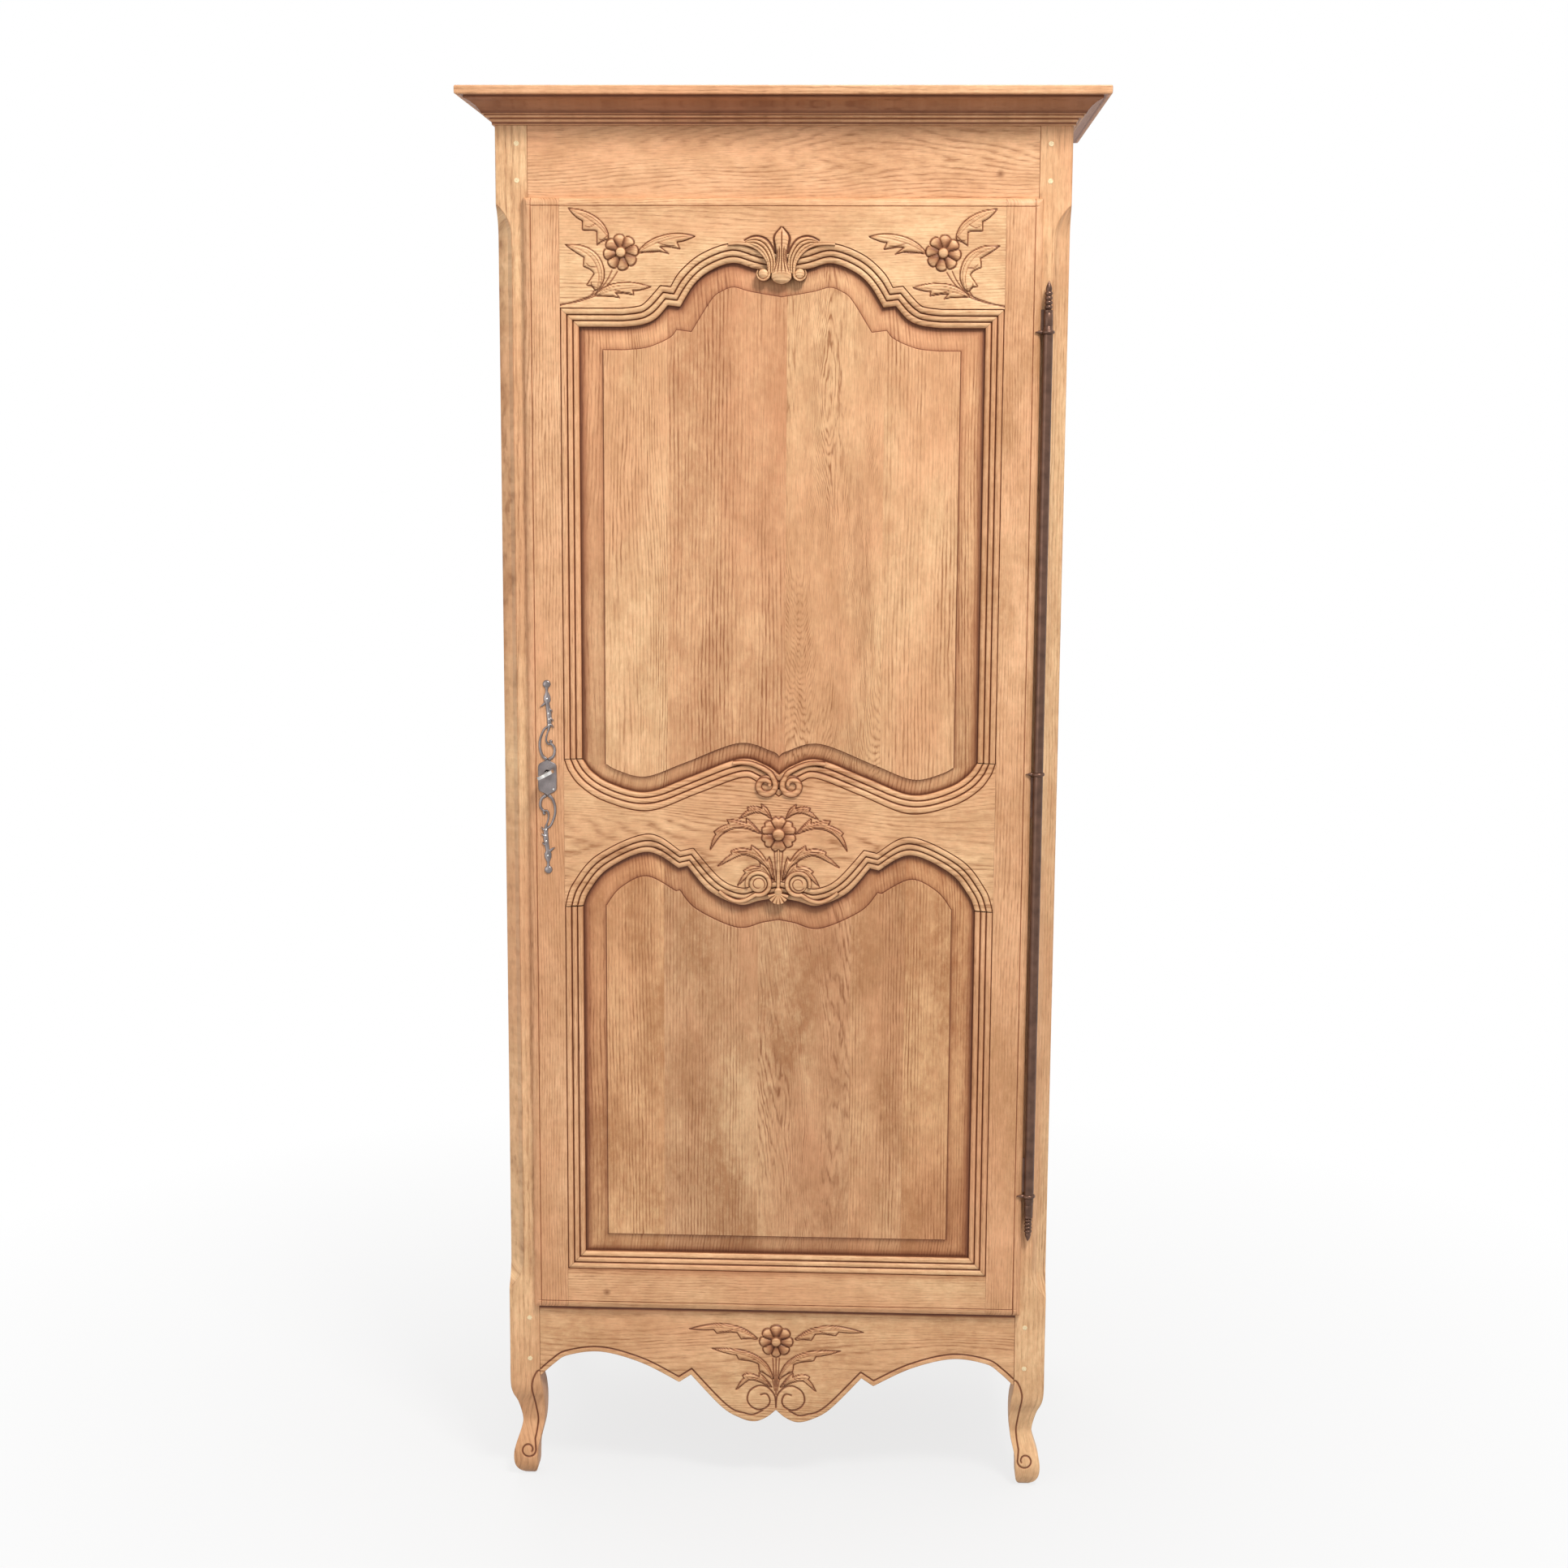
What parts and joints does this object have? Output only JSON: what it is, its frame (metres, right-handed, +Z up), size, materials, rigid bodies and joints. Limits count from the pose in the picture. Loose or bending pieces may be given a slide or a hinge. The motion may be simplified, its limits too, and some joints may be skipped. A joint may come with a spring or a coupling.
{
  "type": "bonnetiere cupboard",
  "caption": "Tall narrow one-door oak cupboard with carved door rails, scalloped apron, scroll feet, moulded cornice, long barrel hinge, lock with key, and shelves inside.",
  "frame": {"origin": "on the floor, under the middle of the whole piece's overall box", "axes": "+Z up, -Y out of the front, with the door's hinges at +X"},
  "size_m": [0.896, 0.568, 2.0343],
  "materials": {
    "case_oak": "waxed",
    "door_oak": "waxed",
    "panel_oak": "waxed",
    "cornice_oak": "waxed",
    "inside_oak": "dry, unwaxed",
    "peg_oak": "end grain, waxed",
    "hinge_iron": "wrought, dark patina",
    "escutcheon_iron": "wrought, grey patina",
    "lock_iron": "wrought, dark patina",
    "key_steel": "worn bright"
  },
  "bodies": {
    "case": {"front_stile_left": "case_oak", "front_stile_right": "case_oak", "rear_stile_left": "case_oak", "rear_stile_right": "case_oak", "frieze_rail": "case_oak", "apron_rail": "case_oak", "peg_top_left_1": "peg_oak", "peg_top_left_2": "peg_oak", "peg_top_right_1": "peg_oak", "peg_top_right_2": "peg_oak", "peg_foot_left_1": "peg_oak", "peg_foot_left_2": "peg_oak", "peg_foot_right_1": "peg_oak", "peg_foot_right_2": "peg_oak", "side_top_rail_left": "case_oak", "side_top_rail_right": "case_oak", "side_middle_rail_left": "case_oak", "side_middle_rail_right": "case_oak", "side_bottom_rail_left": "case_oak", "side_bottom_rail_right": "case_oak", "side_upper_panel_left": "panel_oak", "side_upper_panel_right": "panel_oak", "side_lower_panel_left": "panel_oak", "side_lower_panel_right": "panel_oak", "back_top_rail": "inside_oak", "back_bottom_rail": "inside_oak", "back_board_1": "inside_oak", "back_board_2": "inside_oak", "back_board_3": "inside_oak", "floor_board": "inside_oak", "ceiling_board": "inside_oak", "shelf_1": "inside_oak", "shelf_2": "inside_oak", "shelf_3": "inside_oak", "shelf_cleat_1_left": "inside_oak", "shelf_cleat_1_right": "inside_oak", "shelf_cleat_2_left": "inside_oak", "shelf_cleat_2_right": "inside_oak", "shelf_cleat_3_left": "inside_oak", "shelf_cleat_3_right": "inside_oak", "cornice_front": "cornice_oak", "cornice_left": "cornice_oak", "cornice_right": "cornice_oak", "cornice_rear": "inside_oak", "hinge_rod": "hinge_iron", "hinge_upper_barrel": "hinge_iron", "hinge_bottom_knuckle": "hinge_iron"},
    "door": {"door_lock_stile": "door_oak", "door_hinge_stile": "door_oak", "door_top_rail": "door_oak", "door_middle_rail": "door_oak", "door_bottom_rail": "door_oak", "door_upper_panel": "panel_oak", "door_lower_panel": "panel_oak", "hinge_top_knuckle": "hinge_iron", "hinge_lower_barrel": "hinge_iron", "escutcheon": "escutcheon_iron", "lock_case": "lock_iron"},
    "bolt": {"lock_bolt": "key_steel"},
    "key": {"key": "key_steel"}
  },
  "joints": [
    {"name": "door_swing", "type": "hinge", "parent": "case", "child": "door", "pos_m": [0.3705, -0.2456, 1.083], "axis": [0, 0, 1], "range_deg": [0, 180]},
    {"name": "key_turn", "type": "hinge", "parent": "door", "child": "key", "pos_m": [-0.3335, -0.247, 1.081], "axis": [0, -1, 0], "range_deg": [0, 180]},
    {"name": "bolt_slide", "type": "slide", "parent": "door", "child": "bolt", "axis": [-1, 0, 0], "range_m": [0, 0.01]}
  ],
  "couplings": [
    {"joint": "key_turn", "follows": "bolt_slide", "rad_per_m": 280}
  ]
}
